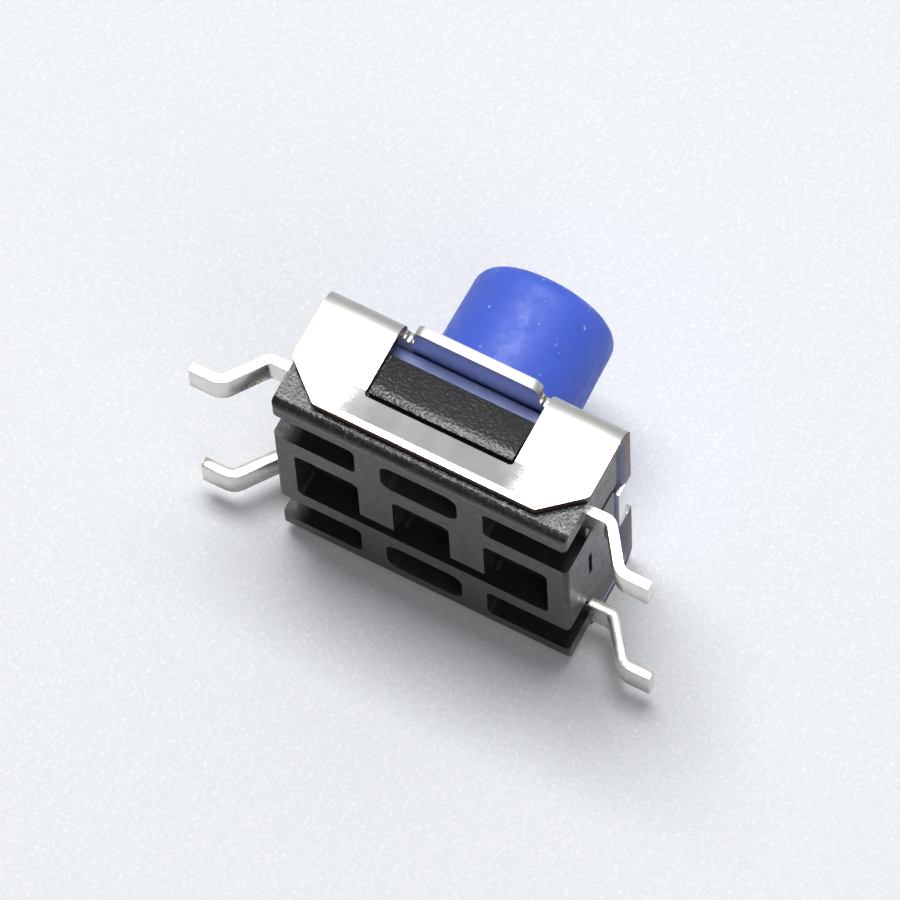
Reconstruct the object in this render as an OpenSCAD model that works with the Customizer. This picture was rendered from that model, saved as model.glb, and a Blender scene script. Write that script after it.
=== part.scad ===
// Surface mount tactile push button switch, in millimetres.
// A folded steel cover snaps over a moulded housing. Two contact strips are
// moulded into the housing and end in four gull-wing terminals. The stem
// presses a snap dome that joins the two strips.
// X runs along the skirts of the cover, Z along the stem, and the solder
// feet stand on Z = 0 with the switch centred on the origin.

/* [Cover] */
// Length of the cover along the skirts
cover_length = 6.0; // [5.6:0.1:7]
// Width of the cover over its two skirts
cover_width = 6.2; // [5.8:0.1:7.2]
// Height of the cover's top face above the board
cover_top = 2.5; // [2.4:0.05:3]
// Thickness of the cover's sheet
cover_sheet = 0.2; // [0.15:0.01:0.25]
// Inside radius of the fold between top and skirt
fold_radius = 0.2; // [0.1:0.02:0.3]
// Height of the skirts' lower edge above the board
skirt_bottom = 0.28; // [0.15:0.01:0.4]
// Length of the cut at the skirts' lower corners
corner_cut_length = 0.76; // [0.3:0.02:1]
// Height of the cut at the skirts' lower corners
corner_cut_height = 0.66; // [0.3:0.02:0.9]
// Radius that softens the skirts' cut corners
corner_cut_radius = 0.14; // [0.05:0.01:0.2]
// Clearance between the stem and its hole in the cover
stem_hole_clearance = 0.08; // [0.04:0.01:0.15]

/* [Snap window] */
// Width of the window in each skirt
window_width = 3.0; // [2.6:0.05:3.4]
// Height of the window's sill above the board
window_sill = 0.84; // [0.75:0.01:0.9]
// Corner radius of the window
window_radius = 0.08; // [0.04:0.01:0.12]
// Width of the relief notches beside the tongue
notch_width = 0.24; // [0.15:0.01:0.35]
// How far the relief notches run into the flat top
notch_run_in = 0.12; // [0.05:0.01:0.25]
// Corner radius of the tongue
tongue_radius = 0.18; // [0.05:0.01:0.18]
// How far the tongue stands out past the skirt's face
tongue_overhang = 0.06; // [0:0.01:0.1]

/* [End tabs] */
// Width of the tab folded down at each end of the cover
end_tab_width = 1.5; // [1.2:0.1:2]
// Inside radius of the end tabs' fold
end_tab_radius = 0.05; // [0.03:0.01:0.1]
// Clearance between the end tabs and the low wall under them
end_tab_clearance = 0.19; // [0.1:0.01:0.25]

/* [Housing] */
// Height of the housing's underside above the board
standoff = 0.02; // [0.01:0.01:0.1]
// Clearance between the housing and the skirts
skirt_clearance = 0.02; // [0.01:0.005:0.04]
// Length of the housing's two long walls
wall_length = 5.96; // [5.5:0.02:6]
// Length of the housing's middle block
block_length = 6.0; // [5.6:0.05:6]
// Thickness of the walls round the well
wall = 0.53; // [0.45:0.01:0.6]
// Height of the low walls above the board
low_wall_top = 1.84; // [1.7:0.02:1.9]
// Height of the housing's ends beside the end tabs
end_wall_top = 2.0; // [1.9:0.02:2.1]
// Clearance beside the window where a long wall steps down
step_clearance = 0.1; // [0.05:0.01:0.2]
// Distance from the housing's ends to the high part of the long walls
post_setback = 0.4; // [0.2:0.02:0.6]
// Radius of the long lower edges
long_edge_radius = 0.2; // [0.1:0.01:0.25]
// Radius of the short lower edges
short_edge_radius = 0.1; // [0.05:0.01:0.15]

/* [Snap lugs] */
// Height of the flat face of each lug
lug_face = 0.24; // [0.15:0.01:0.35]
// Clearance between the lug and the window's sill
lug_sill_clearance = 0.1; // [0.05:0.01:0.14]
// Clearance between the lug and the window's sides
lug_side_clearance = 0.05; // [0.03:0.01:0.1]
// How far the lug stays behind the skirt's face
lug_recess = 0.03; // [0.01:0.01:0.08]

/* [Underside] */
// Width of the middle row of recesses
middle_row_width = 1.76; // [1.4:0.02:2]
// Offset of the middle row of recesses towards the far side
middle_row_offset = 0.06; // [0:0.01:0.1]
// Thickness of the two long ribs between the rows
long_rib = 0.53; // [0.3:0.01:0.6]
// Thickness of the housing outside the outer rows
outer_rib = 0.5; // [0.35:0.01:0.5]
// Length of the middle recess in the outer rows
outer_mid_length = 1.56; // [1.2:0.02:1.8]
// Thickness of the cross ribs in the outer rows
outer_cross_rib = 0.52; // [0.3:0.01:0.7]
// Length of the middle recess in the middle row
inner_mid_length = 1.16; // [0.9:0.02:1.4]
// Thickness of the cross ribs in the middle row
inner_cross_rib = 0.7; // [0.4:0.02:0.9]
// Thickness of the block beyond the middle row
end_rib = 0.42; // [0.3:0.01:0.6]
// Depth of the middle row of recesses
middle_row_depth = 0.5; // [0.3:0.01:0.55]
// Corner radius of the middle recesses in the outer rows
outer_recess_radius = 0.26; // [0.1:0.01:0.4]
// Corner radius of the other recesses
inner_recess_radius = 0.13; // [0.04:0.01:0.15]
// Width of the groove that joins the middle row of recesses
groove_width = 0.4; // [0.2:0.01:0.6]
// Depth of the groove that joins the middle row of recesses
groove_depth = 0.3; // [0.1:0.01:0.45]
// Length of the slot in each end of the middle block
end_slot_length = 0.9; // [0.6:0.05:1.2]
// Height of the slots in the ends
end_slot_height = 0.12; // [0.08:0.01:0.16]
// Depth of the slots in the ends
end_slot_depth = 0.12; // [0.05:0.01:0.2]

/* [Terminals] */
// Thickness of the contact strips
strip = 0.2; // [0.15:0.01:0.22]
// Width of each terminal
terminal_width = 0.7; // [0.5:0.02:0.8]
// Distance from a skirt's inside to the near edge of the terminals
terminal_inset = 0.3; // [0.2:0.01:0.4]
// Length over the solder feet
terminal_span = 9.3; // [9:0.02:10]
// Length of the flat solder foot
foot_length = 0.45; // [0.3:0.01:0.6]
// Height of the stub's underside above the board
stub_height = 0.8; // [0.75:0.01:0.85]
// Slope of the terminal between stub and foot
terminal_slope = 54; // [45:1:65]
// Inside radius of the bend below the stub
upper_bend_radius = 0.12; // [0.05:0.01:0.2]
// Inside radius of the bend above the foot
lower_bend_radius = 0.22; // [0.1:0.01:0.3]

/* [Contacts] */
// Thickness of the plastic skin over the contact strips
floor_skin = 0.05; // [0.03:0.01:0.08]
// Width of the neck that carries the centre contact
neck_width = 0.8; // [0.5:0.02:1]
// Diameter of the centre contact's pad
centre_pad_diameter = 1.1; // [0.9:0.02:1.3]
// Diameter of the raised centre contact
centre_boss_diameter = 0.6; // [0.4:0.02:0.8]
// Width of the arms that carry the dome's rim
arm_width = 0.6; // [0.4:0.02:0.7]

/* [Dome] */
// Diameter of the snap dome
dome_diameter = 3.6; // [3.2:0.05:3.7]
// Height of the dome's inside above its rim
dome_rise = 0.3; // [0.25:0.01:0.4]
// Thickness of the dome
dome_sheet = 0.06; // [0.04:0.01:0.08]

/* [Stem] */
// Travel of the stem
travel = 0.25; // [0.15:0.01:0.3]
// Height of the stem's top above the board
stem_top = 5.1; // [4.3:0.1:7]
// Diameter of the stem where it leaves the cover
stem_diameter = 2.96; // [2.5:0.02:3.5]
// Diameter of the stem at its top, before the rounded edge
stem_tip_diameter = 2.84; // [2.4:0.02:3.5]
// Radius of the stem's top edge
stem_edge_radius = 0.34; // [0.1:0.02:0.5]
// Side of the stem's square flange
flange_side = 4.5; // [4:0.05:4.6]
// Thickness of the flange
flange_thickness = 0.34; // [0.25:0.01:0.4]
// Corner radius of the flange
flange_radius = 0.3; // [0.1:0.02:0.6]
// Clearance between the flange and the cover at rest
flange_clearance = 0.02; // [0.01:0.005:0.04]
// Diameter of the nib that presses the dome
nib_diameter = 1.2; // [0.8:0.02:1.6]
// Clearance between the nib and the dome at rest
nib_clearance = 0.02; // [0.01:0.005:0.04]

/* [Hidden] */

// How far a cut passes beyond the face that it opens
over = 0.5;
// Straight pieces in each rounded corner of an outline
corner_steps = 6;
// Segments of the round surfaces
$fn = 96;

// Cover
cover_under = cover_top - cover_sheet;
fold_outer = fold_radius + cover_sheet;
skirt_face = cover_width / 2;
skirt_inside = skirt_face - cover_sheet;
flat_half = skirt_face - fold_outer;
stem_hole = stem_diameter + 2 * stem_hole_clearance;
tongue_width = window_width - 2 * notch_width;
end_tab_outer = end_tab_radius + cover_sheet;
end_tab_bottom = low_wall_top + end_tab_clearance;

// Housing
house_half = skirt_inside - skirt_clearance;
well_half = house_half - wall;
strip_top = stub_height + strip;
well_floor = strip_top + floor_skin;
step_width = window_width + 2 * step_clearance;
upper_edge_radius = fold_radius + skirt_clearance;

// Snap lugs
lug_width = window_width - 2 * lug_side_clearance;
lug_bottom = window_sill + lug_sill_clearance;
lug_out = skirt_face - lug_recess;

// Underside
outer_row_start = middle_row_width / 2 + long_rib;
outer_row_end = house_half - outer_rib;
outer_row_middle = (outer_row_start + outer_row_end) / 2;
outer_row_width = outer_row_end - outer_row_start;
outer_end_start = outer_mid_length / 2 + outer_cross_rib;
inner_end_start = inner_mid_length / 2 + inner_cross_rib;
inner_end_stop = block_length / 2 - end_rib;

// Contacts
bar_outside = skirt_inside - terminal_inset;
bar_inside = bar_outside - terminal_width;
boss_height = floor_skin + dome_rise - travel;
arm_outside = dome_diameter / 2 + arm_width / 6;

// Dome
dome_sphere = (pow(dome_diameter / 2, 2) + pow(dome_rise, 2)) / (2 * dome_rise);
dome_apex = well_floor + dome_rise + dome_sheet;

// Stem
flange_top = cover_under - flange_clearance;
flange_bottom = flange_top - flange_thickness;
nib_bottom = dome_apex + nib_clearance;

// Terminal: the drop from stub to foot is taken by two bends and a slope,
// and the bends are set back from the tip by the foot's length
bend_sum = upper_bend_radius + strip + lower_bend_radius;
slope_length = (stub_height - bend_sum * (1 - cos(terminal_slope))) / sin(terminal_slope);
slope_run = bend_sum * sin(terminal_slope) + slope_length * cos(terminal_slope);
terminal_tip = terminal_span / 2;
foot_start = terminal_tip - foot_length;
stub_end = foot_start - slope_run;

// Points of an arc round one corner of an outline, between its two tangent
// points. a, b and c are the corners before, at and after the arc.
function unit(v) = v / norm(v);
function corner_arc(a, b, c, r) =
    let (
        to_a = unit(a - b),
        to_c = unit(c - b),
        half = acos(to_a * to_c) / 2,
        centre = b + unit(to_a + to_c) * r / sin(half),
        from = b + to_a * r / tan(half) - centre,
        to = b + to_c * r / tan(half) - centre,
        turn = 180 - 2 * half
    )
    [for (i = [0 : corner_steps])
        centre + (sin(turn * (1 - i / corner_steps)) * from
            + sin(turn * i / corner_steps) * to) / sin(turn)];

// Outline whose corner number i has the radius radii[i]
module rounded_outline(points, radii) {
    count = len(points);
    polygon([for (i = [0 : count - 1])
        let (before = points[(i + count - 1) % count], after = points[(i + 1) % count])
        each (radii[i] > 0 ? corner_arc(before, points[i], after, radii[i]) : [points[i]])]);
}

// Rectangle centred on the origin with four equal corner radii
module rounded_rectangle(length, width, r) {
    x = length / 2;
    y = width / 2;
    rounded_outline([[-x, -y], [x, -y], [x, y], [-x, y]], [r, r, r, r]);
}

// Extrudes an outline drawn in X and Z along Y, from y_from to y_to
module along_y(y_from, y_to)
    translate([0, y_to, 0]) rotate([90, 0, 0])
        linear_extrude(y_to - y_from) children();

// Extrudes an outline drawn in Y and Z along X, centred
module along_x(length)
    rotate([90, 0, 90]) linear_extrude(length, center = true) children();

// The same piece on the near and on the far side
module both_sides() {
    children();
    mirror([0, 1, 0]) children();
}

// The same piece at both ends
module both_ends() {
    children();
    mirror([1, 0, 0]) children();
}

// Cover

// Section of a fold of a quarter turn
module quarter_ring(inner, outer) intersection() {
    difference() {
        circle(outer);
        circle(inner);
    }
    square(outer);
}

// Section of the folded sheet: the top, two quarter-round folds, two skirts
module folded_section() {
    translate([-flat_half, cover_under]) square([2 * flat_half, cover_sheet]);
    for (side = [0, 1]) mirror([side, 0]) {
        translate([skirt_inside, skirt_bottom])
            square([cover_sheet, cover_top - fold_outer - skirt_bottom]);
        translate([flat_half, cover_top - fold_outer]) quarter_ring(fold_radius, fold_outer);
    }
}

// Side view of the cover, with its cut and softened lower corners
module skirt_outline() {
    x = cover_length / 2;
    cut_x = x - corner_cut_length;
    cut_z = skirt_bottom + corner_cut_height;
    r = corner_cut_radius;
    rounded_outline(
        [[-cut_x, skirt_bottom], [cut_x, skirt_bottom], [x, cut_z],
            [x, cover_top + over], [-x, cover_top + over], [-x, cut_z]],
        [r, r, r, 0, 0, r]);
}

// Window in one skirt, open through the fold up to the flat top
module window_cut() {
    x = window_width / 2;
    r = window_radius;
    along_y(skirt_inside - over, skirt_face + over) rounded_outline(
        [[-x, window_sill], [x, window_sill], [x, cover_top - fold_outer], [-x, cover_top - fold_outer]],
        [r, r, 0, 0]);
    translate([-x, flat_half, cover_top - fold_outer])
        cube([window_width, fold_outer + over, fold_outer + over]);
}

// Relief notches beside the tongue, with round inner ends
module relief_notches() {
    round_end = flat_half - notch_run_in + notch_width / 2;
    both_ends() translate([(window_width - notch_width) / 2, round_end, cover_under - over])
        linear_extrude(cover_sheet + 2 * over) {
            circle(d = notch_width);
            translate([-notch_width / 2, 0]) square([notch_width, fold_outer + notch_run_in]);
        }
}

// Flat tongue over the window, which stays in the plane of the top
module tongue() {
    x = tongue_width / 2;
    start = flat_half - notch_run_in;
    translate([0, 0, cover_under]) linear_extrude(cover_sheet) rounded_outline(
        [[-x, start], [x, start], [x, skirt_face + tongue_overhang], [-x, skirt_face + tongue_overhang]],
        [0, 0, tongue_radius, tongue_radius]);
}

// Place of the end tab's fold, and the piece of the flat top that it replaces
module at_end_tab() translate([cover_length / 2 - end_tab_outer, 0, cover_top - end_tab_outer]) children();

module end_tab_cut() at_end_tab() translate([0, -end_tab_width / 2, -over])
    cube([end_tab_outer + over, end_tab_width, end_tab_outer + 2 * over]);

// Tab folded down at the end of the top, into the gap over the low wall
module end_tab() at_end_tab() {
    along_y(-end_tab_width / 2, end_tab_width / 2) quarter_ring(end_tab_radius, end_tab_outer);
    drop = cover_top - end_tab_outer - end_tab_bottom;
    translate([end_tab_radius, -end_tab_width / 2, -drop]) cube([cover_sheet, end_tab_width, drop]);
}

module cover() color("gainsboro") {
    difference() {
        intersection() {
            along_x(cover_length) folded_section();
            along_y(-skirt_face - over, skirt_face + over) skirt_outline();
        }
        both_sides() {
            window_cut();
            relief_notches();
        }
        both_ends() end_tab_cut();
        translate([0, 0, cover_under - over]) cylinder(d = stem_hole, h = cover_sheet + 2 * over);
    }
    both_sides() tongue();
    both_ends() end_tab();
}

// Housing

// Outer form: a body with rounded lower edges, longer at its middle block,
// whose upper edges fit inside the fold of the cover
module housing_form() {
    top = cover_under;
    intersection() {
        along_x(block_length + 2 * over) rounded_outline(
            [[-house_half, standoff], [house_half, standoff], [house_half, top], [-house_half, top]],
            [long_edge_radius, long_edge_radius, upper_edge_radius, upper_edge_radius]);
        union() {
            along_y(-house_half, house_half) end_view(wall_length);
            along_y(-outer_row_start, outer_row_start) end_view(block_length);
        }
    }
}

// View of the housing from its long side
module end_view(length) {
    x = length / 2;
    top = cover_under;
    rounded_outline([[-x, standoff], [x, standoff], [x, top], [-x, top]],
        [short_edge_radius, short_edge_radius, 0, 0]);
}

// Snap lug: a flat face with a lead-in slope above it
module lug() {
    rotate([90, 0, 90]) linear_extrude(lug_width, center = true) polygon(
        [[house_half - over / 2, lug_bottom], [lug_out, lug_bottom], [lug_out, lug_bottom + lug_face],
            [house_half, low_wall_top], [house_half - over / 2, low_wall_top]]);
}

// Well for dome and flange, and the steps that lower all but four posts
// under the cover: under each window, at each end and under each end tab
module well() {
    translate([0, 0, well_floor]) linear_extrude(cover_top)
        rounded_rectangle(2 * well_half, 2 * well_half, flange_radius);
    translate([-step_width / 2, -cover_width, low_wall_top]) cube([step_width, 2 * cover_width, cover_top]);
    translate([-cover_length, -well_half, end_wall_top]) cube([2 * cover_length, 2 * well_half, cover_top]);
    both_ends() translate([wall_length / 2 - post_setback, -cover_width, end_wall_top])
        cube([cover_length, 2 * cover_width, cover_top]);
    translate([-cover_length, -outer_row_start, low_wall_top])
        cube([2 * cover_length, 2 * outer_row_start, cover_top]);
}

// Recess in the underside, drawn at its own place
module recess(depth) translate([0, 0, standoff - over]) linear_extrude(depth + over) children();

// One outer row: a middle recess and two that run out at the ends
module outer_row() {
    depth = stub_height - standoff;
    open_length = cover_length - outer_end_start;
    translate([0, outer_row_middle, 0]) recess(depth) {
        rounded_rectangle(outer_mid_length, outer_row_width, outer_recess_radius);
        for (side = [0, 1]) mirror([side, 0]) translate([outer_end_start + open_length / 2, 0])
            rounded_rectangle(open_length, outer_row_width, inner_recess_radius);
    }
}

// Middle row: three closed recesses joined by a groove along one side
module middle_row() {
    end_length = inner_end_stop - inner_end_start;
    translate([0, middle_row_offset, 0]) {
        recess(middle_row_depth) {
            rounded_rectangle(inner_mid_length, middle_row_width, inner_recess_radius);
            for (side = [0, 1]) mirror([side, 0]) translate([inner_end_start + end_length / 2, 0])
                rounded_rectangle(end_length, middle_row_width, inner_recess_radius);
        }
        translate([0, (middle_row_width - groove_width) / 2, 0]) recess(groove_depth)
            square([2 * inner_end_start + end_length, groove_width], center = true);
    }
}

// Slot in the end of the middle block, level with the contact strips
module end_slot() {
    z = stub_height + (strip - end_slot_height) / 2;
    translate([block_length / 2 - end_slot_depth, -end_slot_length / 2, z])
        cube([end_slot_depth + over, end_slot_length, end_slot_height]);
}

// Opening in the well's floor that bares the centre contact
module centre_window()
    translate([0, 0, strip_top]) cylinder(d = centre_pad_diameter, h = cover_top);

module housing() color("#2a2b2d") difference() {
    union() {
        housing_form();
        both_sides() lug();
    }
    well();
    both_sides() outer_row();
    middle_row();
    both_ends() end_slot();
    centre_window();
    near_contact_solid();
    far_contact_solid();
}

// Contacts

// Points on an arc about centre, from one angle to another
function arc(centre, r, from, to) =
    [for (i = [0 : corner_steps]) let (angle = from + (to - from) * i / corner_steps)
        centre + r * [cos(angle), sin(angle)]];

// Side view of one terminal: a stub out of the housing, a bend down, a
// slope, a bend back and a flat foot. The outline runs out along the
// underside and back along the top, from just past the middle of the bar.
module terminal_section() {
    upper = [stub_end, stub_height - upper_bend_radius];
    lower = [foot_start, strip + lower_bend_radius];
    polygon(concat(
        [[-strip, stub_height]],
        arc(upper, upper_bend_radius, 90, 90 - terminal_slope),
        arc(lower, lower_bend_radius + strip, 270 - terminal_slope, 270),
        [[terminal_tip, 0], [terminal_tip, strip]],
        arc(lower, lower_bend_radius, 270, 270 - terminal_slope),
        arc(upper, upper_bend_radius + strip, 90 - terminal_slope, 90),
        [[-strip, strip_top]]));
}

// Straight bar with a terminal at each end, on the far side
module contact_bar()
    both_ends() along_y(bar_inside, bar_outside) terminal_section();

// Near strip: its neck carries the raised contact under the dome's middle
module near_contact_solid() {
    mirror([0, 1, 0]) contact_bar();
    translate([0, 0, stub_height]) {
        translate([-neck_width / 2, -bar_inside, 0]) cube([neck_width, bar_inside, strip]);
        cylinder(d = centre_pad_diameter, h = strip);
        cylinder(d = centre_boss_diameter, h = strip + boss_height);
    }
}

// Far strip: its two arms carry the dome's rim on raised pads
module far_contact_solid() {
    contact_bar();
    both_ends() translate([arm_outside - arm_width, -arm_width, stub_height]) {
        cube([arm_width, arm_width + bar_inside, strip]);
        cube([arm_width, 2 * arm_width, strip + floor_skin]);
    }
}

module near_contact() color("silver") near_contact_solid();

module far_contact() color("silver") far_contact_solid();

// Dome: a thin cap of a sphere that rests on its rim
module dome() color("lightsteelblue") translate([0, 0, well_floor]) rotate_extrude() intersection() {
    translate([0, dome_rise - dome_sphere]) difference() {
        circle(dome_sphere + dome_sheet);
        circle(dome_sphere);
    }
    square([dome_diameter / 2, dome_rise + 2 * dome_sheet]);
}

// Stem

// Half section of the round, tapered button with its rounded top edge
module button_section() {
    r = stem_diameter / 2;
    tip = stem_tip_diameter / 2;
    edge = corner_arc([r, flange_bottom], [tip, stem_top], [0, stem_top], stem_edge_radius);
    polygon(concat([[0, flange_bottom], [r, flange_bottom], [r, cover_top]], edge, [[0, stem_top]]));
}

module stem() color("#4860d8") {
    rotate_extrude() button_section();
    translate([0, 0, flange_bottom]) linear_extrude(flange_thickness)
        rounded_rectangle(flange_side, flange_side, flange_radius);
    translate([0, 0, nib_bottom]) cylinder(d = nib_diameter, h = flange_top - nib_bottom);
}

housing();
cover();
stem();
dome();
near_contact();
far_contact();
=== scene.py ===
# %% [markdown]
# # A surface mount tactile switch, dressed and lit
#
# The switch is about 9 mm long over its solder feet. It is a black moulded
# housing with four bent terminals, a folded steel cover that snaps over it,
# and a blue stem that stands out of the cover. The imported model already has
# each piece in its place, so this lesson gives the pieces softened edges,
# finishes them and lights them like the reference photograph, where the
# switch lies on one skirt and shows its underside.

# %% Load the frame
import math

import bmesh
import bpy
import numpy as np
from mathutils import Matrix, Vector


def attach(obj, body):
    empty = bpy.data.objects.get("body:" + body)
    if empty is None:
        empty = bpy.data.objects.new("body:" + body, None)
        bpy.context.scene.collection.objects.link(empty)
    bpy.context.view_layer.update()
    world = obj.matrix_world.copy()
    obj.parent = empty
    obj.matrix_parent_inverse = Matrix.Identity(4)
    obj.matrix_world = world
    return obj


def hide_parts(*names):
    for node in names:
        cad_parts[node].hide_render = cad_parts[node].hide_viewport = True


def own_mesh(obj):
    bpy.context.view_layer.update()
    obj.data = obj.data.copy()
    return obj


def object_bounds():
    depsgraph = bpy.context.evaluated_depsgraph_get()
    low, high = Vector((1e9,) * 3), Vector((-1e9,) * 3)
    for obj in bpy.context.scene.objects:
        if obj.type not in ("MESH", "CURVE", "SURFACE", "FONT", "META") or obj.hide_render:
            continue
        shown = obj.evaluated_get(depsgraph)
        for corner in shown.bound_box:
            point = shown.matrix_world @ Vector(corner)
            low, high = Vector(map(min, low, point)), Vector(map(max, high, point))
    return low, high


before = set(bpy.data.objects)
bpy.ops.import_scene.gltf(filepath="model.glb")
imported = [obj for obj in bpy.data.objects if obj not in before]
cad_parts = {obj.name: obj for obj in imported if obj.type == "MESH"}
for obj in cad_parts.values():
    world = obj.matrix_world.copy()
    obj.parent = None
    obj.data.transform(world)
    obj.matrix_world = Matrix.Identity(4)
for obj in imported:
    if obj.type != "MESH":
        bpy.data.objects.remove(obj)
CAD_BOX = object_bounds()
MM = 0.001

# %% [markdown]
# ## Where the camera stands
#
# The camera is a long lens about 158 mm away. Its place and direction were
# worked out from corners of the cover, the housing and the terminals in the
# photograph. The world's up in the photograph is the switch's -Y, because the
# switch lies on its far skirt, so the camera's up is -Y too, with a slight
# roll. A 349 mm lens on a 36 mm sensor has the photograph's narrow view.

# %% Camera
CAMERA_AT = Vector((31.34, -146.95, -50.05)) * MM
CAMERA_TARGET = Vector((-0.18, -0.54, 1.51)) * MM
CAMERA_ROLL = math.radians(-3.95)
LENS_MM = 349.4
SENSOR_MM = 36.0
NEAREST, FARTHEST = 10 * MM, 2000 * MM
PHOTO_UP = Vector((0, -1, 0))


def aim(obj, place, target, up, roll=0.0):
    """Puts obj at place with its -Z axis towards target and its Y axis as near
    to up as it can be, then turned by roll about its line of sight."""
    back = (place - target).normalized()
    right = up.cross(back).normalized()
    turned = Matrix((right, back.cross(right), back)).transposed().to_4x4()
    obj.matrix_world = Matrix.Translation(place) @ turned @ Matrix.Rotation(roll, 4, "Z")


camera_data = bpy.data.cameras.new("camera")
camera_data.lens = LENS_MM
camera_data.sensor_width = SENSOR_MM
camera_data.clip_start = NEAREST
camera_data.clip_end = FARTHEST
camera = bpy.data.objects.new("camera", camera_data)
bpy.context.scene.collection.objects.link(camera)
bpy.context.scene.camera = camera
aim(camera, CAMERA_AT, CAMERA_TARGET, PHOTO_UP, CAMERA_ROLL)
print("camera distance in mm", round((CAMERA_AT - CAMERA_TARGET).length / MM, 1))

# %% [markdown]
# ## Helpers for materials
#
# Colours are written as sRGB hex values, which is how a paint or plastic
# colour is usually looked up, and one function turns them to the linear
# values that the renderer needs. A second function adds a node to a
# material with its settings, its values and its links in one call. The last
# two start a material and turn a real size to a noise texture's scale.

# %% Colour and node helpers
def linear(hex_colour):
    """Linear RGB of an sRGB hex colour: each channel c becomes c / 12.92 below
    0.04045, else ((c + 0.055) / 1.055) to the power 2.4."""
    channels = [int(hex_colour[i:i + 2], 16) / 255 for i in (1, 3, 5)]
    rgb = [c / 12.92 if c <= 0.04045 else ((c + 0.055) / 1.055) ** 2.4
           for c in channels]
    return (*rgb, 1.0)


def add(tree, kind, settings=None, inputs=None):
    """Adds a node of one kind. settings are its properties. inputs gives each
    socket, by name or number, a value or the socket that feeds it."""
    made = tree.nodes.new(kind)
    for name, value in (settings or {}).items():
        setattr(made, name, value)
    for name, value in (inputs or {}).items():
        if isinstance(value, bpy.types.NodeSocket):
            tree.links.new(value, made.inputs[name])
        else:
            made.inputs[name].default_value = value
    return made


def new_material(name):
    """An empty node material, its tree and the Object coordinates that all its
    patterns read."""
    material = bpy.data.materials.new(name)
    material.use_nodes = True
    tree = material.node_tree
    tree.nodes.clear()
    return material, tree, add(tree, "ShaderNodeTexCoord").outputs["Object"]


def per_mm(size_mm):
    """Scale of a noise texture whose features are size_mm across. Object
    coordinates are in metres, so it is one over that size in metres."""
    return 1.0 / (size_mm * MM)


# A noise texture stays mostly between these two values, so patterns that are
# to use their whole range start and end there.
NOISE_LOW, NOISE_HIGH = 0.3, 0.7
print("dark grey as linear", [round(c, 4) for c in linear("#222326")])

# %% [markdown]
# ## Tin-plated steel
#
# The cover is stamped and folded from steel strip that was tin-plated
# first. Tin gives a soft white metal: bright where it mirrors the light,
# with faint clouds from the plating and fine drag marks from the press. So
# the surface is a metal whose roughness varies in slow clouds, with a fine
# bump from a stretched noise. The strip below each window is pushed out a
# little at its lower edge by the snap lug, so it mirrors a darker part of
# the room than the rest of the skirt: a wide, shallow bump tilts it by some
# ten degrees. The outside of each bend is stretched and comes out matt. The
# inner side is duller and painted a pale blue, which is a painted reflection
# of the stem's blue flange, but for the tongues over the windows: there it
# is wiped bright and mirrors the stem's blue flange, still tinted by that
# painted blue. The punch leaves the sheet's cut faces bare, and they are
# painted a dark brown-grey that is partly bare steel and partly painted
# shade. Where each of these holds is worked out from the place on the
# sheet, so no picture has to be painted.

# %% Where the sheet is bowed, bent and wiped
SILL_TOP, SILL_BOTTOM = 0.95 * MM, 0.4 * MM
SILL_HALF_IN, SILL_HALF_OUT = 1.1 * MM, 2.2 * MM
SILL_BOW = 0.1 * MM
BEND_FROM, BEND_FULL, BEND_SIDE = 2.1 * MM, 2.17 * MM, 2.65 * MM
TONGUE_HALF, TONGUE_FROM = 1.3 * MM, 2.2 * MM
TONGUE_METALLIC = 0.95


def sill_bow(tree, place):
    """Height from 0 to 1 that rises evenly from SILL_TOP down to SILL_BOTTOM,
    and fades out sideways between SILL_HALF_IN and SILL_HALF_OUT."""
    axes = add(tree, "ShaderNodeSeparateXYZ", inputs={"Vector": place})
    drop = add(tree, "ShaderNodeMapRange", inputs={
        "Value": axes.outputs["Z"], "From Min": SILL_TOP, "From Max": SILL_BOTTOM})
    side = add(tree, "ShaderNodeMath", {"operation": "ABSOLUTE"}, {0: axes.outputs["X"]})
    fade = add(tree, "ShaderNodeMapRange", {"interpolation_type": "SMOOTHSTEP"}, {
        "Value": side.outputs[0], "From Min": SILL_HALF_OUT, "From Max": SILL_HALF_IN})
    return add(tree, "ShaderNodeMath", {"operation": "MULTIPLY"}, {
        0: drop.outputs["Result"], 1: fade.outputs["Result"]}).outputs[0]


def bent_roughness(tree, place, flat, bent):
    """Roughness that goes from flat to bent as the height rises from BEND_FROM
    to BEND_FULL where abs(y) is over BEND_SIDE."""
    axes = add(tree, "ShaderNodeSeparateXYZ", inputs={"Vector": place})
    rise = add(tree, "ShaderNodeMapRange", inputs={
        "Value": axes.outputs["Z"], "From Min": BEND_FROM, "From Max": BEND_FULL})
    out = add(tree, "ShaderNodeMath", {"operation": "ABSOLUTE"}, {0: axes.outputs["Y"]})
    skirt = add(tree, "ShaderNodeMath", {"operation": "GREATER_THAN"}, {
        0: out.outputs[0], 1: BEND_SIDE})
    share = add(tree, "ShaderNodeMath", {"operation": "MULTIPLY"}, {
        0: rise.outputs["Result"], 1: skirt.outputs[0]})
    return add(tree, "ShaderNodeMix", {"data_type": "FLOAT"}, {
        "Factor": share.outputs[0], "A": flat, "B": bent}).outputs["Result"]


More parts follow.
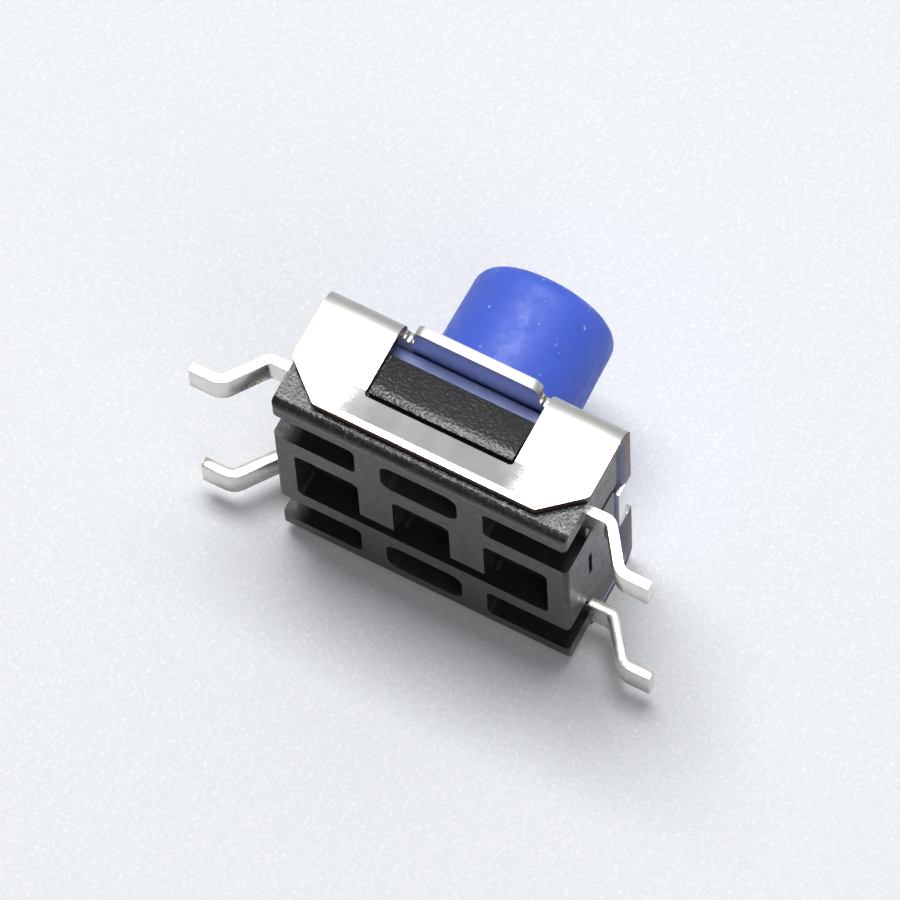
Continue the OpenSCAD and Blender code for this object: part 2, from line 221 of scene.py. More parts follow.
def on_tongue(tree, place):
    """1 where abs(x) is under TONGUE_HALF and z over TONGUE_FROM, else 0."""
    axes = add(tree, "ShaderNodeSeparateXYZ", inputs={"Vector": place})
    side = add(tree, "ShaderNodeMath", {"operation": "ABSOLUTE"}, {0: axes.outputs["X"]})
    within = add(tree, "ShaderNodeMath", {"operation": "LESS_THAN"}, {
        0: side.outputs[0], 1: TONGUE_HALF})
    above = add(tree, "ShaderNodeMath", {"operation": "GREATER_THAN"}, {
        0: axes.outputs["Z"], 1: TONGUE_FROM})
    return add(tree, "ShaderNodeMath", {"operation": "MULTIPLY"}, {
        0: within.outputs[0], 1: above.outputs[0]}).outputs[0]


SILL_TILT = math.degrees(math.atan(SILL_BOW / (SILL_TOP - SILL_BOTTOM)))
print("the sill's bow tilts it by degrees", round(SILL_TILT, 1))

# %% [markdown]
# ### The steel's three finishes
#
# One recipe makes the outer and the inner side, because both are the same
# tin: slow clouds change the colour and the roughness a little, shallow
# waves bend reflections as rolled sheet does, and a fine drawn-out grain
# breaks them up. The inner side gets a low metallic value and a pale blue
# colour, which together paint the blue reflection of the stem's flange. The
# cut faces are another surface altogether, a torn and dull one, so they get
# a short recipe of their own, whose dark brown-grey is partly painted shade.

# %% Tin-plated steel
WAVE_MM, WAVE_DEPTH_MM = 0.35, 0.004
CLOUD_MM = 0.7
DRAG_MM, DRAG_DEPTH_MM, DRAG_STRENGTH = 0.05, 0.01, 0.12
DRAWN_OUT = (0.35, 1.0, 1.0)


def tin_plated_steel(name, dark, light, smoothest, roughest, bent, metallic, wiped=None):
    """Tin between two colours and two roughnesses, with roughness bent on the
    bends. With wiped, the tongues have that roughness and are metallic."""
    material, tree, place = new_material(name)
    bow = add(tree, "ShaderNodeBump", inputs={
        "Height": sill_bow(tree, place), "Strength": 1.0, "Distance": SILL_BOW})
    waves = add(tree, "ShaderNodeTexNoise", inputs={
        "Vector": place, "Scale": per_mm(WAVE_MM), "Detail": 1.0})
    wavy = add(tree, "ShaderNodeBump", inputs={
        "Height": waves.outputs["Fac"], "Strength": 1.0, "Distance": WAVE_DEPTH_MM * MM,
        "Normal": bow.outputs["Normal"]})
    clouds = add(tree, "ShaderNodeTexNoise", inputs={
        "Vector": place, "Scale": per_mm(CLOUD_MM), "Detail": 3.0})
    colour = add(tree, "ShaderNodeMix", {"data_type": "RGBA"}, {
        "Factor": clouds.outputs["Fac"], "A": linear(dark), "B": linear(light)})
    rough = add(tree, "ShaderNodeMapRange", inputs={
        "Value": clouds.outputs["Fac"], "From Min": NOISE_LOW, "From Max": NOISE_HIGH,
        "To Min": smoothest, "To Max": roughest})
    matt = bent_roughness(tree, place, rough.outputs["Result"], bent)
    shine = metallic
    if wiped is not None:
        tongue = on_tongue(tree, place)
        matt = add(tree, "ShaderNodeMix", {"data_type": "FLOAT"}, {
            "Factor": tongue, "A": matt, "B": wiped}).outputs["Result"]
        shine = add(tree, "ShaderNodeMapRange", inputs={
            "Value": tongue, "To Min": metallic, "To Max": TONGUE_METALLIC}).outputs["Result"]
    drag = add(tree, "ShaderNodeMapping", inputs={"Vector": place, "Scale": DRAWN_OUT})
    grain = add(tree, "ShaderNodeTexNoise", inputs={
        "Vector": drag.outputs["Vector"], "Scale": per_mm(DRAG_MM), "Detail": 2.0})
    bump = add(tree, "ShaderNodeBump", inputs={
        "Height": grain.outputs["Fac"], "Strength": DRAG_STRENGTH,
        "Distance": DRAG_DEPTH_MM * MM, "Normal": wavy.outputs["Normal"]})
    shader = add(tree, "ShaderNodeBsdfPrincipled", inputs={
        "Base Color": colour.outputs["Result"], "Metallic": shine,
        "Roughness": matt, "Normal": bump.outputs["Normal"]})
    add(tree, "ShaderNodeOutputMaterial", inputs={"Surface": shader.outputs["BSDF"]})
    return material


STEEL = tin_plated_steel(
    "tin-plated steel, stamped and folded", "#d3d3d0", "#e3e3e0",
    smoothest=0.16, roughest=0.24, bent=0.6, metallic=1.0)
# The inner side's pale blue is a painted reflection of the stem's blue flange, on the tongues
# too.
STEEL_INSIDE = tin_plated_steel(
    "tin-plated steel, inner side, painted blue reflection", "#c1c9ee", "#dae0fa",
    smoothest=0.42, roughest=0.54, bent=0.54, metallic=0.1, wiped=0.24)
print("made", STEEL.name, "and", STEEL_INSIDE.name)

# %% Bare steel and painted shade on the cut faces
TEAR_MM, TEAR_DEPTH_MM = 0.06, 0.01


def cut_steel_with_painted_shade():
    """Brown-grey metal whose colour and relief follow one fine noise. Its dark brown-grey is
    partly bare steel and partly painted shade.
    """
    material, tree, place = new_material("bare steel with painted shade, cut face")
    tear = add(tree, "ShaderNodeTexNoise", inputs={
        "Vector": place, "Scale": per_mm(TEAR_MM), "Detail": 3.0})
    # Dark brown-grey: partly bare steel, partly painted shade on the cut faces.
    colour = add(tree, "ShaderNodeMix", {"data_type": "RGBA"}, {
        "Factor": tear.outputs["Fac"], "A": linear("#5a4640"), "B": linear("#8f7d74")})
    bump = add(tree, "ShaderNodeBump", inputs={
        "Height": tear.outputs["Fac"], "Strength": 0.3, "Distance": TEAR_DEPTH_MM * MM})
    shader = add(tree, "ShaderNodeBsdfPrincipled", inputs={
        "Base Color": colour.outputs["Result"], "Metallic": 1.0, "Roughness": 0.5,
        "Normal": bump.outputs["Normal"]})
    add(tree, "ShaderNodeOutputMaterial", inputs={"Surface": shader.outputs["BSDF"]})
    return material


STEEL_CUT = cut_steel_with_painted_shade()
print("made", STEEL_CUT.name)

# %% [markdown]
# ## Silver-plated brass
#
# The terminals are blanked from brass strip, plated with silver and bent.
# They are a little warmer than the cover and less glossy, because the
# plating is matt and shows fine pits. So a slow noise, the start of tarnish,
# changes the colour and the roughness, and a fine one sets the pits.

# %% Silver-plated brass
TARNISH_MM = 0.5
PIT_MM, PIT_DEPTH_MM = 0.04, 0.006


def silver_plated_brass():
    """Warm white metal: colour and roughness follow a slow noise, the relief a
    fine one."""
    material, tree, place = new_material("silver-plated brass, blanked and bent")
    tarnish = add(tree, "ShaderNodeTexNoise", inputs={
        "Vector": place, "Scale": per_mm(TARNISH_MM), "Detail": 3.0})
    colour = add(tree, "ShaderNodeMix", {"data_type": "RGBA"}, {
        "Factor": tarnish.outputs["Fac"], "A": linear("#dcd6cf"), "B": linear("#ebe8e3")})
    rough = add(tree, "ShaderNodeMapRange", inputs={
        "Value": tarnish.outputs["Fac"], "From Min": NOISE_LOW, "From Max": NOISE_HIGH,
        "To Min": 0.22, "To Max": 0.32})
    pits = add(tree, "ShaderNodeTexNoise", inputs={
        "Vector": place, "Scale": per_mm(PIT_MM), "Detail": 2.0})
    bump = add(tree, "ShaderNodeBump", inputs={
        "Height": pits.outputs["Fac"], "Strength": 0.1, "Distance": PIT_DEPTH_MM * MM})
    shader = add(tree, "ShaderNodeBsdfPrincipled", inputs={
        "Base Color": colour.outputs["Result"], "Metallic": 1.0,
        "Roughness": rough.outputs["Result"], "Normal": bump.outputs["Normal"]})
    add(tree, "ShaderNodeOutputMaterial", inputs={"Surface": shader.outputs["BSDF"]})
    return material


SILVER = silver_plated_brass()
print("made", SILVER.name)

# %% [markdown]
# ## Glass-filled polymer
#
# The housing is moulded in a black polymer filled with short glass fibres.
# Up close it is a dark grey with a sandy skin: where light grazes it, the
# grains sparkle. The base colour is a near black, a fine noise roughens the
# skin, and a second, sparser noise paints single bright grains on the walls,
# which are painted glints. The tool is spark-eroded and coarse where it
# forms the two long walls and their lugs, and its core pins, which form the
# underside, are polished: so the bump is strong beyond COARSE_FROM along Y
# and weak inside it, and the sheen too. Beyond COARSE_FROM the base colour
# is also painted darker than the underside's, as painted shade.

# %% Glass-filled polymer
COARSE_FROM, COARSE_FULL = 2.6 * MM, 2.74 * MM
SKIN_MM = 0.16
GRAIN_MM, GRAIN_DEPTH_MM = 0.06, 0.018
GLINT_FROM, GLINT_FULL = 0.55, 0.75


def glass_filled_polymer():
    """Near black with a fine skin inside COARSE_FROM, and beyond it a darker
    base with bright grains, which are painted shade and painted glints, and a
    stronger relief and more sheen. One share, which goes from 0 to 1 between
    COARSE_FROM and COARSE_FULL, blends the two."""
    material, tree, place = new_material("glass-filled polymer, moulded")
    skin = add(tree, "ShaderNodeTexNoise", inputs={
        "Vector": place, "Scale": per_mm(SKIN_MM), "Detail": 4.0})
    grains = add(tree, "ShaderNodeTexNoise", inputs={
        "Vector": place, "Scale": per_mm(GRAIN_MM), "Detail": 1.0})
    glint = add(tree, "ShaderNodeMapRange", inputs={
        "Value": grains.outputs["Fac"], "From Min": GLINT_FROM, "From Max": GLINT_FULL})
    ground = add(tree, "ShaderNodeMix", {"data_type": "RGBA"}, {
        "Factor": skin.outputs["Fac"], "A": linear("#222326"), "B": linear("#2c2d31")})
    # Walls: a base painted darker than the underside's as painted shade, with bright grains
    # that are painted glints.
    wall_tone_painted_shade_and_glints = add(tree, "ShaderNodeMix", {"data_type": "RGBA"}, {
        "Factor": glint.outputs["Result"], "A": linear("#131416"), "B": linear("#303336")})
    rough = add(tree, "ShaderNodeMapRange", inputs={
        "Value": skin.outputs["Fac"], "From Min": NOISE_LOW, "From Max": NOISE_HIGH,
        "To Min": 0.25, "To Max": 0.39})
    axes = add(tree, "ShaderNodeSeparateXYZ", inputs={"Vector": place})
    out = add(tree, "ShaderNodeMath", {"operation": "ABSOLUTE"}, {0: axes.outputs["Y"]})
    coarse = add(tree, "ShaderNodeMapRange", inputs={
        "Value": out.outputs[0], "From Min": COARSE_FROM, "From Max": COARSE_FULL})
    colour = add(tree, "ShaderNodeMix", {"data_type": "RGBA"}, {
        "Factor": coarse.outputs["Result"], "A": ground.outputs["Result"],
        "B": wall_tone_painted_shade_and_glints.outputs["Result"]})
    relief = add(tree, "ShaderNodeMapRange", inputs={
        "Value": coarse.outputs["Result"], "To Min": 0.15, "To Max": 0.7})
    bump = add(tree, "ShaderNodeBump", inputs={
        "Height": grains.outputs["Fac"], "Strength": relief.outputs["Result"],
        "Distance": GRAIN_DEPTH_MM * MM})
    sheen = add(tree, "ShaderNodeMapRange", inputs={
        "Value": coarse.outputs["Result"], "To Min": 0.24, "To Max": 0.6})
    shader = add(tree, "ShaderNodeBsdfPrincipled", inputs={
        "Base Color": colour.outputs["Result"], "Roughness": rough.outputs["Result"],
        "Specular IOR Level": sheen.outputs["Result"], "IOR": 1.58,
        "Normal": bump.outputs["Normal"]})
    add(tree, "ShaderNodeOutputMaterial", inputs={"Surface": shader.outputs["BSDF"]})
    return material


POLYMER = glass_filled_polymer()
print("made", POLYMER.name)

# %% [markdown]
# ## Blue nylon
#
# The stem is moulded in a blue nylon. Its skin is smooth with a slight
# orange peel, so a broad light draws a pale, mottled streak down the round
# button. A few specks of dust lie on it. The rim of the flange, which slides
# along the housing's walls inside the cover, is painted paler and greyer, as
# painted shade for how the flange looks under the cover.

# %% Blue nylon
RIM_FROM = 2.1 * MM
FLOW_MM, DUST_MM = 0.9, 0.11
DUST_FROM, DUST_FULL, DUST_SHARE = 0.8, 0.88, 0.5
PEEL_MM, PEEL_DEPTH_MM = 0.22, 0.012


def blue_nylon():
    """Blue that drifts with a slow noise, greyer where abs(y) is over RIM_FROM as
    painted shade, with dust where a fine noise peaks and a relief like orange peel."""
    material, tree, place = new_material("blue nylon, moulded")
    flow = add(tree, "ShaderNodeTexNoise", inputs={
        "Vector": place, "Scale": per_mm(FLOW_MM), "Detail": 2.0})
    colour = add(tree, "ShaderNodeMix", {"data_type": "RGBA"}, {
        "Factor": flow.outputs["Fac"], "A": linear("#3f5fd2"), "B": linear("#4969e0")})
    axes = add(tree, "ShaderNodeSeparateXYZ", inputs={"Vector": place})
    out = add(tree, "ShaderNodeMath", {"operation": "ABSOLUTE"}, {0: axes.outputs["Y"]})
    rim = add(tree, "ShaderNodeMath", {"operation": "GREATER_THAN"}, {
        0: out.outputs[0], 1: RIM_FROM})
    # The flange's rim is painted a paler, greyer blue as painted shade for how it looks under
    # the cover.
    greyer_rim_painted_shade = add(tree, "ShaderNodeMix", {"data_type": "RGBA"}, {
        "Factor": rim.outputs[0], "A": colour.outputs["Result"], "B": linear("#8a98d6")})
    lint = add(tree, "ShaderNodeTexNoise", inputs={
        "Vector": place, "Scale": per_mm(DUST_MM), "Detail": 0.0})
    dust = add(tree, "ShaderNodeMapRange", inputs={
        "Value": lint.outputs["Fac"], "From Min": DUST_FROM, "From Max": DUST_FULL,
        "To Max": DUST_SHARE})
    dusty = add(tree, "ShaderNodeMix", {"data_type": "RGBA"}, {
        "Factor": dust.outputs["Result"], "A": greyer_rim_painted_shade.outputs["Result"],
        "B": linear("#d8def4")})
    peel = add(tree, "ShaderNodeTexNoise", inputs={
        "Vector": place, "Scale": per_mm(PEEL_MM), "Detail": 2.0})
    rough = add(tree, "ShaderNodeMapRange", inputs={
        "Value": peel.outputs["Fac"], "From Min": NOISE_LOW, "From Max": NOISE_HIGH,
        "To Min": 0.4, "To Max": 0.7})
    bump = add(tree, "ShaderNodeBump", inputs={
        "Height": peel.outputs["Fac"], "Strength": 0.6, "Distance": PEEL_DEPTH_MM * MM})
    shader = add(tree, "ShaderNodeBsdfPrincipled", inputs={
        "Base Color": dusty.outputs["Result"], "Roughness": rough.outputs["Result"],
        "Specular IOR Level": 0.6, "IOR": 1.53, "Normal": bump.outputs["Normal"]})
    add(tree, "ShaderNodeOutputMaterial", inputs={"Surface": shader.outputs["BSDF"]})
    return material


NYLON = blue_nylon()
print("made", NYLON.name)

# %% [markdown]
# ## Softened edges
#
# No real edge is perfectly sharp: a moulded edge has the tool's small
# radius, and a stamped edge rolls over on the side where the punch came in.
# At this magnification those edges catch light, so they are modelled. A
# copy of each CAD mesh has its loose corners merged and its coplanar
# triangles joined, then a Bevel modifier turns every sharp edge into a
# small arc. The CAD mesh itself stays untouched, and the copy stands for it.

# %% A softened copy of one piece
SHARP_ANGLE, FLAT_ANGLE = math.radians(32), math.radians(0.5)
MERGE_DISTANCE = 0.0005 * MM


def softened_copy(node, name, material, radius_mm, segments=2):
    """Closed copy of a CAD node whose edges sharper than SHARP_ANGLE are
    replaced by arcs: each face beside such an edge is set back by the radius,
    and segments strips join the two."""
    mesh = bpy.data.meshes.new(name)
    shape = bmesh.new()
    shape.from_mesh(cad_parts[node].data)
    bmesh.ops.remove_doubles(shape, verts=shape.verts, dist=MERGE_DISTANCE)
    bmesh.ops.dissolve_limit(
        shape, angle_limit=FLAT_ANGLE, verts=shape.verts, edges=shape.edges)
    shape.to_mesh(mesh)
    shape.free()
    piece = bpy.data.objects.new(name, mesh)
    bpy.context.scene.collection.objects.link(piece)
    bevel = piece.modifiers.new("soft edges", "BEVEL")
    bevel.width = radius_mm * MM
    bevel.segments = segments
    bevel.limit_method = "ANGLE"
    bevel.angle_limit = SHARP_ANGLE
    bevel.miter_outer = "MITER_ARC"
    mesh.shade_smooth()
    mesh.materials.clear()
    mesh.materials.append(material)
    normals = piece.modifiers.new("flat faces stay flat", "WEIGHTED_NORMAL")
    normals.keep_sharp = True
    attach(piece, "housing")
    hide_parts(node)
    print(name, "faces before bevel", len(mesh.polygons))
    return piece


print("edges sharper than", round(math.degrees(SHARP_ANGLE)), "degrees are rounded")

# %% Softened copies of the housing, the cover and the contacts
HOUSING = softened_copy("housing", "moulded_housing", POLYMER, 0.025)
COVER = softened_copy("cover", "folded_cover", STEEL, 0.02)
NEAR = softened_copy("near_contact", "near_terminals", SILVER, 0.014)
FAR = softened_copy("far_contact", "far_terminals", SILVER, 0.014)

# %% [markdown]
# ### Which side of the sheet a face is on
#
# The cover is one solid, so its outer side, inner side and cut faces have to
# be told apart before they can get their three finishes. On a folded sheet
# that can be read from where a face is and which way it looks, which is
# easier to follow than a list of face numbers and outlasts a small change of
# size.

# %% Outer side, inner side and cut faces of the cover
TOP_MIDDLE, FOLD_START = 2.4 * MM, 2.0 * MM
SKIRT_FROM, TAB_HALF = 2.5 * MM, 0.75 * MM
DOWNWARD, SIDEWAYS, ALONG_SKIRT = -0.9, 0.3, 0.05


def mark_sheet_sides(piece, inside, cut):
    """Gives the sheet's inner side and its cut faces materials of their own.
    Inner faces look down under the top, or from a skirt or an end tab to the
    middle. Cut faces don't look along Y, and look along X or lie below the
    fold, but for the end tabs' outer faces."""
    piece.data.materials.append(inside)
    piece.data.materials.append(cut)
    counts = [0, 0, 0]
    for face in piece.data.polygons:
        look, at = face.normal, face.center
        on_tab = abs(at.y) < TAB_HALF and abs(look.x) > SIDEWAYS
        on_skirt = abs(at.y) > SKIRT_FROM and abs(look.y) > SIDEWAYS
        down = look.z < DOWNWARD and FOLD_START < at.z < TOP_MIDDLE
        inward = (on_skirt and look.y * at.y < 0) or (on_tab and look.x * at.x < 0)
        severed = not on_tab and abs(look.y) < ALONG_SKIRT and (
            abs(look.x) > SIDEWAYS or at.z < FOLD_START)
        if down or inward:
            face.material_index = 1
        elif severed:
            face.material_index = 2
        counts[face.material_index] += 1
    return counts


print("outer, inner and cut faces", mark_sheet_sides(COVER, STEEL_INSIDE, STEEL_CUT))

# %% [markdown]
# ## Stacks of rings
#
# The CAD button is made of flat facets, which a streak of light would show.
# So the stem is built again as a stack of rings with many points each. One
# formula draws both the square flange and the round button: a rounded
# square whose corner radius equals half its side is a circle. Each row of
# the stack is half the side, the corner radius and the height.

# %% Ring and stack
RING_POINTS = 288


def ring(half, corner, height):
    """Ring of points round the Z axis, on a rounded square. Along the direction
    (cos t, sin t) a point lies where the straight side is met, at half / cos t,
    or, past the side's end, on the corner's circle."""
    turn = np.linspace(0.0, 2.0 * np.pi, RING_POINTS, endpoint=False)
    along = np.maximum(np.abs(np.cos(turn)), np.abs(np.sin(turn)))
    across = np.minimum(np.abs(np.cos(turn)), np.abs(np.sin(turn)))
    inset = half - corner
    to_side = half / along
    to_centre = inset * (along + across)
    to_corner = to_centre + np.sqrt(
        np.maximum(to_centre ** 2 - 2.0 * inset ** 2 + corner ** 2, 0.0))
    reach = np.where(to_side * across <= inset, to_side, to_corner)
    return np.stack([
        reach * np.cos(turn), reach * np.sin(turn), np.full_like(turn, height)], axis=1)


def ring_stack(name, rows, material):
    """Closed mesh from rings: neighbouring rings are joined by quads, and the
    first and last ring by a fan to a point on the axis."""
    points = np.concatenate([ring(*row) for row in rows])
    ends = np.array([[0.0, 0.0, rows[0][2]], [0.0, 0.0, rows[-1][2]]])
    verts = np.concatenate([points, ends]) * MM
    k = np.arange(RING_POINTS)
    step = np.roll(k, -1)
    faces = []
    for row in range(len(rows) - 1):
        low, high = row * RING_POINTS, (row + 1) * RING_POINTS
        faces += np.stack([low + k, low + step, high + step, high + k], axis=1).tolist()
    first, last = len(points), len(points) + 1
    top = (len(rows) - 1) * RING_POINTS
    faces += np.stack([step, k, np.full_like(k, first)], axis=1).tolist()
    faces += np.stack([top + k, top + step, np.full_like(k, last)], axis=1).tolist()
    mesh = bpy.data.meshes.new(name)
    mesh.from_pydata(verts.tolist(), [], faces)
    mesh.shade_smooth()
    mesh.materials.append(material)
    piece = bpy.data.objects.new(name, mesh)
    bpy.context.scene.collection.objects.link(piece)
    print(name, "rings", len(rows), "faces", len(mesh.polygons))
    return piece


ROUND_TEST = np.hypot(*ring(1.0, 1.0, 0.0)[:, :2].T)
print("a ring that is all corner is a circle to within", np.ptp(ROUND_TEST))

# %% [markdown]
# ## The stem
#
# The stem is one moulding: a nib below that presses the dome, a square
# flange that the cover holds in, and the round button, which narrows a
# little to the top as the mould needs. Its outline runs from the nib's lower
# face outwards and up, and at each outer edge an arc of rows rounds it. An
# inner corner stays sharp: two rows close together keep the smooth shading
# from running over it.

# %% Stem
ARC_ROWS = 7
NIB_RADIUS, NIB_BOTTOM = 0.6, 1.43
FLANGE_HALF, FLANGE_CORNER = 2.25, 0.3
FLANGE_BOTTOM, FLANGE_TOP = 1.94, 2.28
BUTTON_RADIUS, BUTTON_TIP = 1.48, 1.42
BUTTON_TOP, BUTTON_EDGE = 5.1, 0.34
EDGE_ROUND, CORNER_STEP = 0.04, 0.02
SIDE_SHARES = np.linspace(0.1, 0.8, 8)
TOP_SHARES = (0.66, 0.33)
EDGE_FIT = 0.99


def arc_rows(centre, radius, start, stop):
    """Offsets (outward, up) of an arc about centre, from one angle to another
    in degrees: the radius times the angle's cosine and sine."""
    angles = np.radians(np.linspace(start, stop, ARC_ROWS))
    return [(centre[0] + radius * math.cos(a), centre[1] + radius * math.sin(a))
            for a in angles]


def stem_rows():
    """Rows of the stem from the nib's lower face, out over the flange and up the
    button to its rounded top edge. A rounded edge's centre is set in from the
    corner by the radius times the tangent of half the corner's angle."""
    e = EDGE_ROUND
    step_out = NIB_RADIUS + CORNER_STEP
    rows = [(NIB_RADIUS / 2, NIB_RADIUS / 2, NIB_BOTTOM)]
    rows += [(r, r, z) for r, z in arc_rows((NIB_RADIUS - e, NIB_BOTTOM + e), e, -90, 0)]
    rows += [(NIB_RADIUS, NIB_RADIUS, FLANGE_BOTTOM), (step_out, step_out, FLANGE_BOTTOM)]
    shrink = FLANGE_HALF - FLANGE_CORNER
    for height, start in ((FLANGE_BOTTOM + e, -90), (FLANGE_TOP - e, 0)):
        arc = arc_rows((FLANGE_HALF - e, height), e, start, start + 90)
        rows += [(h, h - shrink, z) for h, z in arc]
    step_out = BUTTON_RADIUS + CORNER_STEP
    rows += [(step_out, step_out, FLANGE_TOP), (BUTTON_RADIUS, BUTTON_RADIUS, FLANGE_TOP)]
    taper = math.atan2(BUTTON_RADIUS - BUTTON_TIP, BUTTON_TOP - FLANGE_TOP)
    for share in SIDE_SHARES:
        height = FLANGE_TOP + share * (BUTTON_TOP - FLANGE_TOP)
        radius = BUTTON_RADIUS - share * (BUTTON_RADIUS - BUTTON_TIP)
        rows.append((radius, radius, height))
    centre_out = BUTTON_TIP - BUTTON_EDGE * math.tan((math.pi / 2 - taper) / 2) * EDGE_FIT
    centre = (centre_out, BUTTON_TOP - BUTTON_EDGE)
    edge = arc_rows(centre, BUTTON_EDGE, math.degrees(taper), 90)
    rows += [(out, out, up) for out, up in edge]
    rows += [(share * centre_out, share * centre_out, BUTTON_TOP) for share in TOP_SHARES]
    return rows


STEM = ring_stack("moulded_stem", stem_rows(), NYLON)
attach(STEM, "stem")
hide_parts("stem")

# %% [markdown]
# ## The snap dome
#
# The dome is a thin cap of a sphere, pressed from spring steel and hidden
# below the stem. It is made as a stack of rings too: out along its lower
# side and back along its upper side. On the real switch it bends when the
# stem is pressed. Here it keeps its rest shape and stays with the housing,
# which leaves the nib just clear of it and the dome just over the raised
# contact.

# %% Snap dome
DOME_RADIUS, DOME_RISE, DOME_SHEET, DOME_FLOOR = 1.8, 0.3, 0.06, 1.05
DOME_RINGS, DOME_FIRST = 24, 0.05


def dome_rows():
    """Rows of the dome: out along the lower sphere to the rim, and back along
    the upper one. The height over the rim at radius r is
    sqrt(R^2 - r^2) - (R - rise)."""
    sphere = (DOME_RADIUS ** 2 + DOME_RISE ** 2) / (2 * DOME_RISE)
    sunk = DOME_FLOOR + DOME_RISE - sphere
    spread = np.linspace(DOME_FIRST, 1.0, DOME_RINGS) * DOME_RADIUS
    lower = np.sqrt(sphere ** 2 - spread ** 2) + sunk
    upper = np.sqrt((sphere + DOME_SHEET) ** 2 - spread ** 2) + sunk
    out = np.concatenate([spread, spread[::-1]])
    return np.stack([out, out, np.concatenate([lower, upper[::-1]])], axis=1)


DOME = ring_stack("pressed_dome", dome_rows(), STEEL)
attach(DOME, "housing")
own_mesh(DOME)
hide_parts("dome")

# %% [markdown]
# ## Floor
#
# The switch lies on its far skirt, so the floor is a plane that touches
# that skirt. It is a pale board with a fine grain, whose lighter specks are
# painted sparkle. Seen from behind, the plane is clear, so the far side of
# the switch can be looked at, and it lets light from behind through to the
# skirt that lies on it.

# %% Floor
FLOOR_HALF, FLOOR_GAP = 400 * MM, 0.004 * MM
FLOOR_AT = CAD_BOX[1].y + FLOOR_GAP
CONTACT_REACH = 0.3 * MM
BOARD_GRAIN_MM, BOARD_DEPTH_MM = 0.07, 0.012
SPECK_FROM, SPECK_FULL, GROUND_FULL = 0.56, 0.7, 0.6


def pale_board():
    """Pale grey whose grain and specks follow one fine noise; the lighter specks
    are painted sparkle. It is clear from behind, and to any ray but the
    camera's that is under CONTACT_REACH long."""
    material, tree, place = new_material("pale board, granular")
    grain = add(tree, "ShaderNodeTexNoise", inputs={
        "Vector": place, "Scale": per_mm(BOARD_GRAIN_MM), "Detail": 2.0})
    # The lighter specks are painted sparkle of the board's grains.
    specks = add(tree, "ShaderNodeMapRange", inputs={
        "Value": grain.outputs["Fac"], "From Min": SPECK_FROM, "From Max": SPECK_FULL})
    ground = add(tree, "ShaderNodeMapRange", inputs={
        "Value": grain.outputs["Fac"], "From Min": NOISE_LOW, "From Max": GROUND_FULL})
    board = add(tree, "ShaderNodeMix", {"data_type": "RGBA"}, {
        "Factor": ground.outputs["Result"], "A": linear("#e5e8ec"), "B": linear("#eaecf0")})
    colour = add(tree, "ShaderNodeMix", {"data_type": "RGBA"}, {
        "Factor": specks.outputs["Result"], "A": board.outputs["Result"],
        "B": linear("#f3f5f8")})
    bump = add(tree, "ShaderNodeBump", inputs={
        "Height": grain.outputs["Fac"], "Strength": 0.4, "Distance": BOARD_DEPTH_MM * MM})
    shader = add(tree, "ShaderNodeBsdfPrincipled", inputs={
        "Base Color": colour.outputs["Result"], "Roughness": 0.5,
        "Normal": bump.outputs["Normal"]})
    clear = add(tree, "ShaderNodeBsdfTransparent")
    side = add(tree, "ShaderNodeNewGeometry")
    path = add(tree, "ShaderNodeLightPath")
    near = add(tree, "ShaderNodeMath", {"operation": "LESS_THAN"}, {
        0: path.outputs["Ray Length"], 1: CONTACT_REACH})
    unseen = add(tree, "ShaderNodeMath", {"operation": "SUBTRACT"}, {
        0: 1.0, 1: path.outputs["Is Camera Ray"]})
    passing = add(tree, "ShaderNodeMath", {"operation": "MULTIPLY"}, {
        0: near.outputs[0], 1: unseen.outputs[0]})
    open_side = add(tree, "ShaderNodeMath", {"operation": "MAXIMUM"}, {
        0: side.outputs["Backfacing"], 1: passing.outputs[0]})
    surface = add(tree, "ShaderNodeMixShader", inputs={
        0: open_side.outputs[0], 1: shader.outputs["BSDF"], 2: clear.outputs["BSDF"]})
    add(tree, "ShaderNodeOutputMaterial", inputs={"Surface": surface.outputs["Shader"]})
    return material


def floor_plane():
    """Square in the plane y = FLOOR_AT whose normal is -Y: its corners run
    round clockwise seen from +Y."""
    mesh = bpy.data.meshes.new("floor")
    corners = np.array([(-1, -1), (1, -1), (1, 1), (-1, 1)]) * FLOOR_HALF
    mesh.from_pydata([(x, FLOOR_AT, z) for x, z in corners.tolist()], [], [(0, 1, 2, 3)])
    mesh.materials.append(pale_board())
    plane = bpy.data.objects.new("floor", mesh)
    bpy.context.scene.collection.objects.link(plane)
    return plane


FLOOR = floor_plane()
print("floor at y in mm", round(FLOOR_AT / MM, 3), "normal", FLOOR.data.polygons[0].normal)

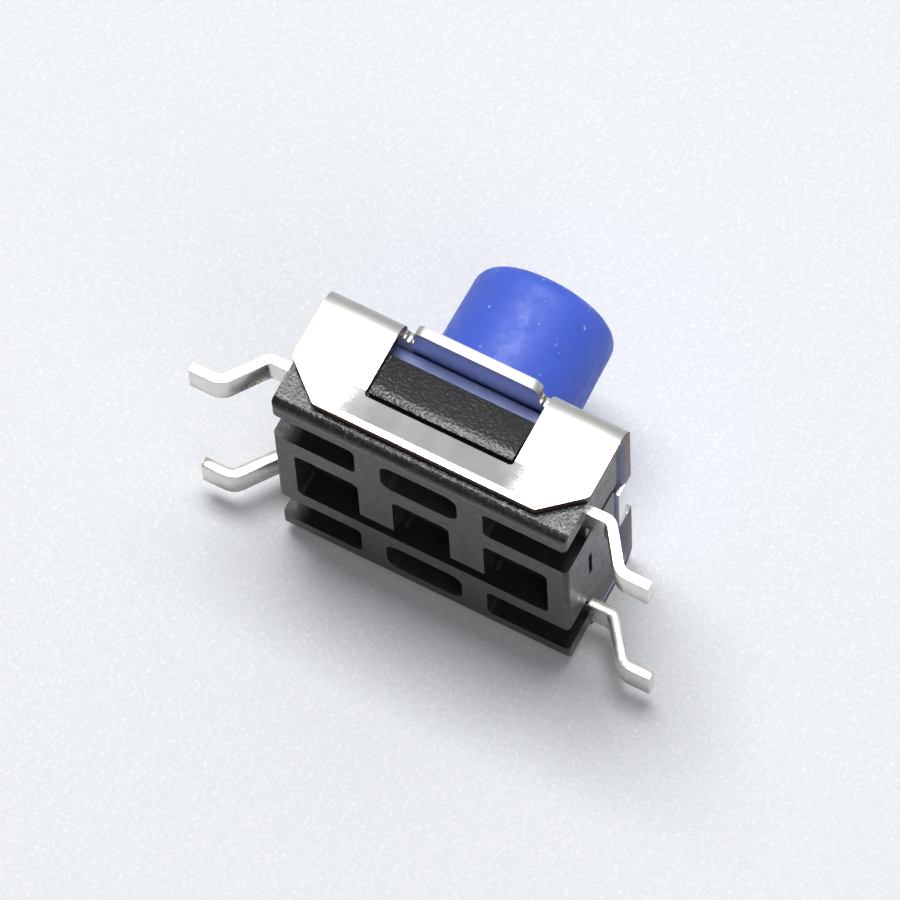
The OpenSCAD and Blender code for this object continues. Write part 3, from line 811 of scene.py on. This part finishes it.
# %% [markdown]
# ## Light
#
# One broad soft box stands above the switch, where the near skirt mirrors it
# into the camera, as in the photograph. Two weak fills stand beyond it: one
# over the button's end, which the fold and the bowed sill strip mirror as a
# light grey, and one on the underside's end and to the right, which opens
# the recesses and the end wall. A third stands behind the floor and reaches
# only the skirt that lies on it. Each lamp is given by how bright its face
# is, because a metal mirrors just that.

# %% Lamps
SWITCH_MIDDLE = Vector((0, 0, 1.5)) * MM
LAMPS = (
    # name, place in mm, width and height in mm, radiance
    ("key soft box", (-16.0, -101.4, 22.0), 75, 37, 10.2),
    ("fill over the button's end", (0.0, -75.0, 70.0), 130, 70, 0.37),
    ("fill at the underside's end", (66.0, -82.0, -52.0), 80, 60, 1.35),
    ("fill behind the floor", (-50.0, 105.0, 45.0), 110, 80, 1.4),
)


def soft_box(name, place_mm, width_mm, height_mm, radiance):
    """Rectangular area lamp that faces the switch. Its power is radiance times
    pi times its area, so that its face has that radiance."""
    data = bpy.data.lights.new(name, "AREA")
    data.shape = "RECTANGLE"
    data.size = width_mm * MM
    data.size_y = height_mm * MM
    data.energy = radiance * math.pi * data.size * data.size_y
    lamp = bpy.data.objects.new(name, data)
    bpy.context.scene.collection.objects.link(lamp)
    aim(lamp, Vector(place_mm) * MM, SWITCH_MIDDLE, Vector((0, 0, 1)))
    print(name, "power", round(data.energy, 4))


for lamp_values in LAMPS:
    soft_box(*lamp_values)

# %% [markdown]
# ## World
#
# The world gives a dim, even surround, so that no side of the switch goes
# black. The camera itself sees a plain pale grey there, like the floor, which
# lights nothing.

# %% World
SURROUND_STRENGTH = 0.21
world = bpy.data.worlds.new("pale surround")
world.use_nodes = True
sky = world.node_tree
sky.nodes.clear()
surround = add(sky, "ShaderNodeBackground", inputs={
    "Color": linear("#eef0f2"), "Strength": SURROUND_STRENGTH})
plain = add(sky, "ShaderNodeBackground", inputs={"Color": linear("#e9ebee"), "Strength": 1.0})
seen = add(sky, "ShaderNodeLightPath")
mixed = add(sky, "ShaderNodeMixShader", inputs={
    0: seen.outputs["Is Camera Ray"], 1: surround.outputs["Background"],
    2: plain.outputs["Background"]})
add(sky, "ShaderNodeOutputWorld", inputs={"Surface": mixed.outputs["Shader"]})
bpy.context.scene.world = world
bpy.context.scene.view_settings.view_transform = "Standard"
print("world strength", SURROUND_STRENGTH)
